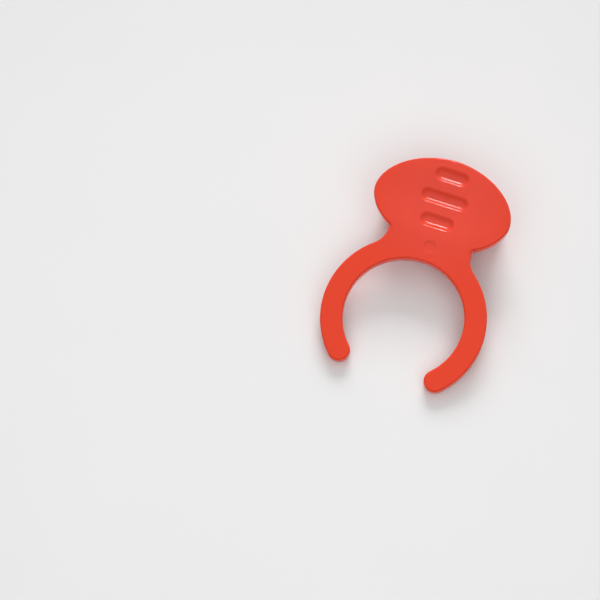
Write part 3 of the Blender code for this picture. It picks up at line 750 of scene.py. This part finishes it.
# Light is given as the share of the floor's brightness that each source brings; the key, the fill and the
# room together make about 1
studio = {
    "aim": (-17.55 * mm, -10.18 * mm, 0.0),
    "cameraDistance": 400 * mm,
    "azimuth": radians(19.717),
    "elevation": radians(66.0),
    "lens": 144.24,
    "keyShare": 0.36,           # a softbox behind the table, which throws the long soft shadow
    "keyElevation": radians(27),
    "keyAzimuth": radians(-3),  # turned this far to the left of straight behind
    "keySize": (0.7, 0.45),
    "keyDistance": 1.2,
    "glintShare": 0.17,         # a small strip light, higher behind: its reflection is the crisp streak
    "glintElevation": radians(48.5),
    "glintAzimuth": radians(-7.7),
    "glintSize": (0.16, 0.05),
    "fillShare": 0.40,          # a broad fill from the front
    "fillElevation": radians(50),
    "fillSize": (0.9, 0.4),
    "fillDistance": 0.6,
    "skyTop": (-0.10, 0.33, 0.94),
    "zenith": 0.74,
    "middleSky": 0.31,
    "horizon": 0.08,
}


card = {
    "half": 3.0,
    "low": -0.02 * mm,          # a hair under the cover's flat back
    "tones": ("#e8e8e8", "#eae9e9"),
    "mottle": 30 * mm,
    "fallFrom": 25 * mm,
    "fallTo": 110 * mm,
    "paintedFalloff": (0.98, 0.93),       # painted light falloff: the share of its tone that is left near the middle and far out
}


def makeFloor():
    # A plain matt sheet of card with a very faint mottle and a painted falloff of light towards its edges
    half, low = card["half"], card["low"]
    points = np.array([(-half, -half, low), (half, -half, low), (half, half, low), (-half, half, low)])
    floor = makeMesh("floor", points, [(0, 1, 2, 3)])
    made, tree, shader, place = newMaterial("matt white card", Roughness=0.75)
    # The mottle, and a painted falloff of light: the tone darkens by a few hundredths away from the middle
    mottle = addNode(tree, "ShaderNodeTexNoise", Vector=place, Scale=1 / card["mottle"], Detail=2.0)
    dull, bright = linear(card["tones"][0]), linear(card["tones"][1])
    tone = addNode(tree, "ShaderNodeValToRGB", stops=[(0.3, dull), (0.7, bright)],
                   Fac=mottle.outputs["Fac"])
    away = addNode(tree, "ShaderNodeVectorMath", {"operation": "DISTANCE"}, i0=place, i1=studio["aim"])
    paintedFalloff = addNode(tree, "ShaderNodeMapRange", {"interpolation_type": "SMOOTHSTEP"},
                   Value=away.outputs["Value"], From_Min=card["fallFrom"], From_Max=card["fallTo"],
                   To_Min=card["paintedFalloff"][0], To_Max=card["paintedFalloff"][1])
    shade = addNode(tree, "ShaderNodeVectorMath", {"operation": "SCALE"}, i0=tone.outputs["Color"],
                    Scale=paintedFalloff.outputs["Result"])
    tree.links.new(shade.outputs["Vector"], shader.inputs["Base Color"])
    paint(floor, made)


def areaLight(name, direction, distance, aim, size, share, seenIn):
    # Its power in watts is the share times pi squared, the distance squared, over the sine of its height:
    # the power that brings the floor that share of full white. A light is seen in gloss, or it lights
    # the matt side of things
    data = bpy.data.lights.new(name, "AREA")
    data.shape, data.size, data.size_y = "RECTANGLE", size[0], size[1]
    data.energy = share * pi * pi * distance ** 2 / direction.z
    light = bpy.data.objects.new(name, data)
    bpy.context.scene.collection.objects.link(light)
    light.location = aim + direction * distance
    light.rotation_mode = "QUATERNION"
    light.rotation_quaternion = (-direction).to_track_quat("-Z", "Y")
    light.visible_glossy = seenIn == "gloss"
    light.visible_diffuse = seenIn == "matt"


def towards(azimuth, elevation):
    # Azimuth 0 is the front, at -Y, and it grows to the right
    return Vector((sin(azimuth) * cos(elevation), -cos(azimuth) * cos(elevation), sin(elevation)))


def makeLights():
    # Two lights behind the table, a fill before it, and the room
    aim = Vector((0.0, 0.0, 0.0))
    behind = studio["azimuth"] + pi
    key = towards(behind + studio["keyAzimuth"], studio["keyElevation"])
    areaLight("key_softbox", key, studio["keyDistance"], aim, studio["keySize"],
              studio["keyShare"], "matt")
    glint = towards(behind + studio["glintAzimuth"], studio["glintElevation"])
    areaLight("glint_strip", glint, studio["keyDistance"], aim, studio["glintSize"],
              studio["glintShare"], "gloss")
    fill = towards(studio["azimuth"], studio["fillElevation"])
    areaLight("fill_softbox", fill, studio["fillDistance"], Vector(studio["aim"]),
              studio["fillSize"], studio["fillShare"], "matt")
    world = bpy.data.worlds.new("studio")
    bpy.context.scene.world = world
    world.use_nodes = True
    tree = world.node_tree
    place = addNode(tree, "ShaderNodeTexCoord").outputs["Generated"]
    # The room is brightest overhead and a little behind, and darker towards the horizon and the front,
    # which draws a deeper line round a rounded edge
    lean = addNode(tree, "ShaderNodeVectorMath", {"operation": "DOT_PRODUCT"}, i0=place,
                   i1=studio["skyTop"])
    tones = [(0.0, studio["horizon"]), (0.5, studio["middleSky"]), (1.0, studio["zenith"])]
    sky = addNode(tree, "ShaderNodeValToRGB", stops=[(at, (tone, tone, tone, 1)) for at, tone in tones],
                  Fac=lean.outputs["Value"])
    tree.links.new(sky.outputs["Color"], tree.nodes["Background"].inputs["Color"])


def makeCamera():
    # A long lens well above the table: the object lies at the right of the middle of the frame
    back = towards(studio["azimuth"], studio["elevation"])
    data = bpy.data.cameras.new("camera")
    data.sensor_width, data.lens = 36.0, studio["lens"]
    data.clip_start, data.clip_end = 0.01, 20.0
    camera = bpy.data.objects.new("camera", data)
    bpy.context.scene.collection.objects.link(camera)
    camera.location = Vector(studio["aim"]) + back * studio["cameraDistance"]
    camera.rotation_mode = "QUATERNION"
    camera.rotation_quaternion = (-back).to_track_quat("-Z", "Y")
    bpy.context.scene.camera = camera


makeFloor()
makeLights()
makeCamera()
bpy.context.scene.view_settings.view_transform = "Standard"   # plain sRGB, so plastics keep their colour
print("floor, lights and camera placed")
